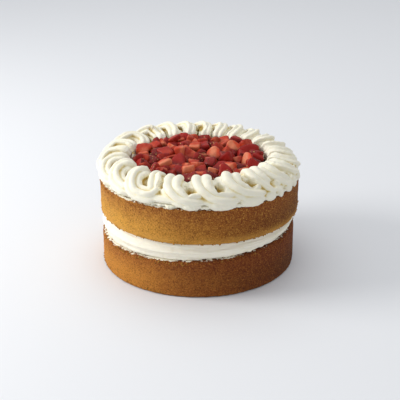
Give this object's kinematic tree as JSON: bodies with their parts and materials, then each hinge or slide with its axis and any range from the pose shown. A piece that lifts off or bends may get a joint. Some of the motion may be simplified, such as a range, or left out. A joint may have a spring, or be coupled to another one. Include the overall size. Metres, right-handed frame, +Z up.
{
  "type": "strawberry cream sponge cake",
  "caption": "Round sandwich sponge cake with a cream filling, a piped border of cream loops and a heap of cut strawberries on top.",
  "frame": {"origin": "middle of the foot of the lower sponge, on the surface the cake stands on", "axes": "+Z up through the layers; the start and the lifted end of the piped border face -Y"},
  "size_m": [0.2006, 0.201, 0.1162],
  "materials": {
    "sponge": "matte",
    "cream": "satin",
    "strawberry": "gloss"
  },
  "bodies": {
    "root": {"sponge_lower": "sponge", "cream_filling": "cream", "sponge_upper": "sponge", "cream_top": "cream", "piped_border": "cream", "strawberries": "strawberry"}
  },
  "joints": []
}
